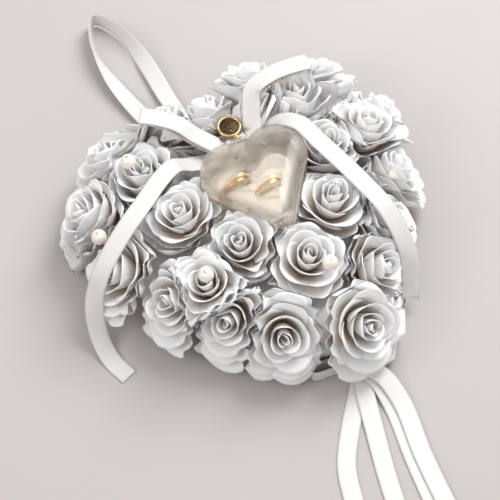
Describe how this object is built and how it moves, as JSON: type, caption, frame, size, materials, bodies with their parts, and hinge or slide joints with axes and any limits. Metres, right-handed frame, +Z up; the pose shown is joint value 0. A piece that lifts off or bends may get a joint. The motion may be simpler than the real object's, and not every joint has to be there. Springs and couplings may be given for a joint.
{
  "type": "ring bearer pillow",
  "caption": "Heart-shaped satin pillow covered in white foam roses, holding a clear hinged heart box with wedding rings, a charm, pearls and ribbons.",
  "frame": {"origin": "middle of the heart-shaped cushion's flat underside", "axes": "+Y from the tip of the heart to its notch, +Z up out of the flowers"},
  "size_m": [0.2525, 0.4581, 0.0756],
  "materials": {
    "satin": "white satin with a soft sheen",
    "fibre": "loose white fibre",
    "foam": "matt white petal foam",
    "clear_plastic": "clear polished plastic",
    "steel": "plain",
    "gold": "polished gold",
    "bronze": "dark aged bronze",
    "pearl": "pearl lustre",
    "crystal": "cut clear stone"
  },
  "bodies": {
    "pillow": {"lower_satin_panel": "satin", "upper_satin_panel": "satin", "bow_knot": "satin", "bow_loop_left": "satin", "bow_loop_right": "satin", "bow_tail_left": "satin", "bow_tail_right": "satin", "hanging_loop": "satin", "tip_knot": "satin", "tip_loop_left": "satin", "tip_loop_right": "satin", "tip_tail_1": "satin", "tip_tail_2": "satin", "tip_tail_3": "satin", "tip_tail_4": "satin", "fibre_filling": "fibre", "foam_insert": "foam", "rose_01": "foam", "rose_02": "foam", "rose_03": "foam", "rose_04": "foam", "rose_05": "foam", "rose_06": "foam", "rose_07": "foam", "rose_08": "foam", "rose_09": "foam", "rose_10": "foam", "rose_11": "foam", "rose_12": "foam", "rose_13": "foam", "rose_14": "foam", "rose_15": "foam", "rose_16": "foam", "rose_17": "foam", "rose_18": "foam", "rose_19": "foam", "rose_20": "foam", "rose_21": "foam", "rose_22": "foam", "rose_23": "foam", "rose_24": "foam", "rose_25": "foam", "ring_box_tray": "clear_plastic", "hinge_pin": "steel", "charm_link": "steel", "pearl_1": "pearl", "pearl_2": "pearl", "pearl_3": "pearl", "pearl_4": "pearl", "pearl_5": "pearl", "rhinestone_1": "crystal", "rhinestone_2": "crystal", "rhinestone_3": "crystal", "rhinestone_4": "crystal", "rhinestone_5": "crystal", "rhinestone_6": "crystal"},
    "lid": {"ring_box_lid": "clear_plastic"},
    "left_ring": {"ring_left": "gold"},
    "right_ring": {"ring_right": "gold"},
    "charm_disc": {"charm": "bronze"}
  },
  "joints": [
    {"name": "box_lid", "type": "hinge", "parent": "pillow", "child": "lid", "pos_m": [0.00893, 0.05225, 0.06045], "axis": [-0.9986, 0.0523, 0], "range_deg": [0, 95]},
    {"name": "ring_left_lift", "type": "slide", "parent": "pillow", "child": "left_ring", "axis": [0, 0, 1], "range_m": [0, 0.01]},
    {"name": "ring_right_lift", "type": "slide", "parent": "pillow", "child": "right_ring", "axis": [0, 0, 1], "range_m": [0, 0.01]},
    {"name": "charm_swing", "type": "hinge", "parent": "pillow", "child": "charm_disc", "pos_m": [0.013, 0.06, 0.052], "axis": [1, 0, 0], "range_deg": [0, 45]}
  ]
}
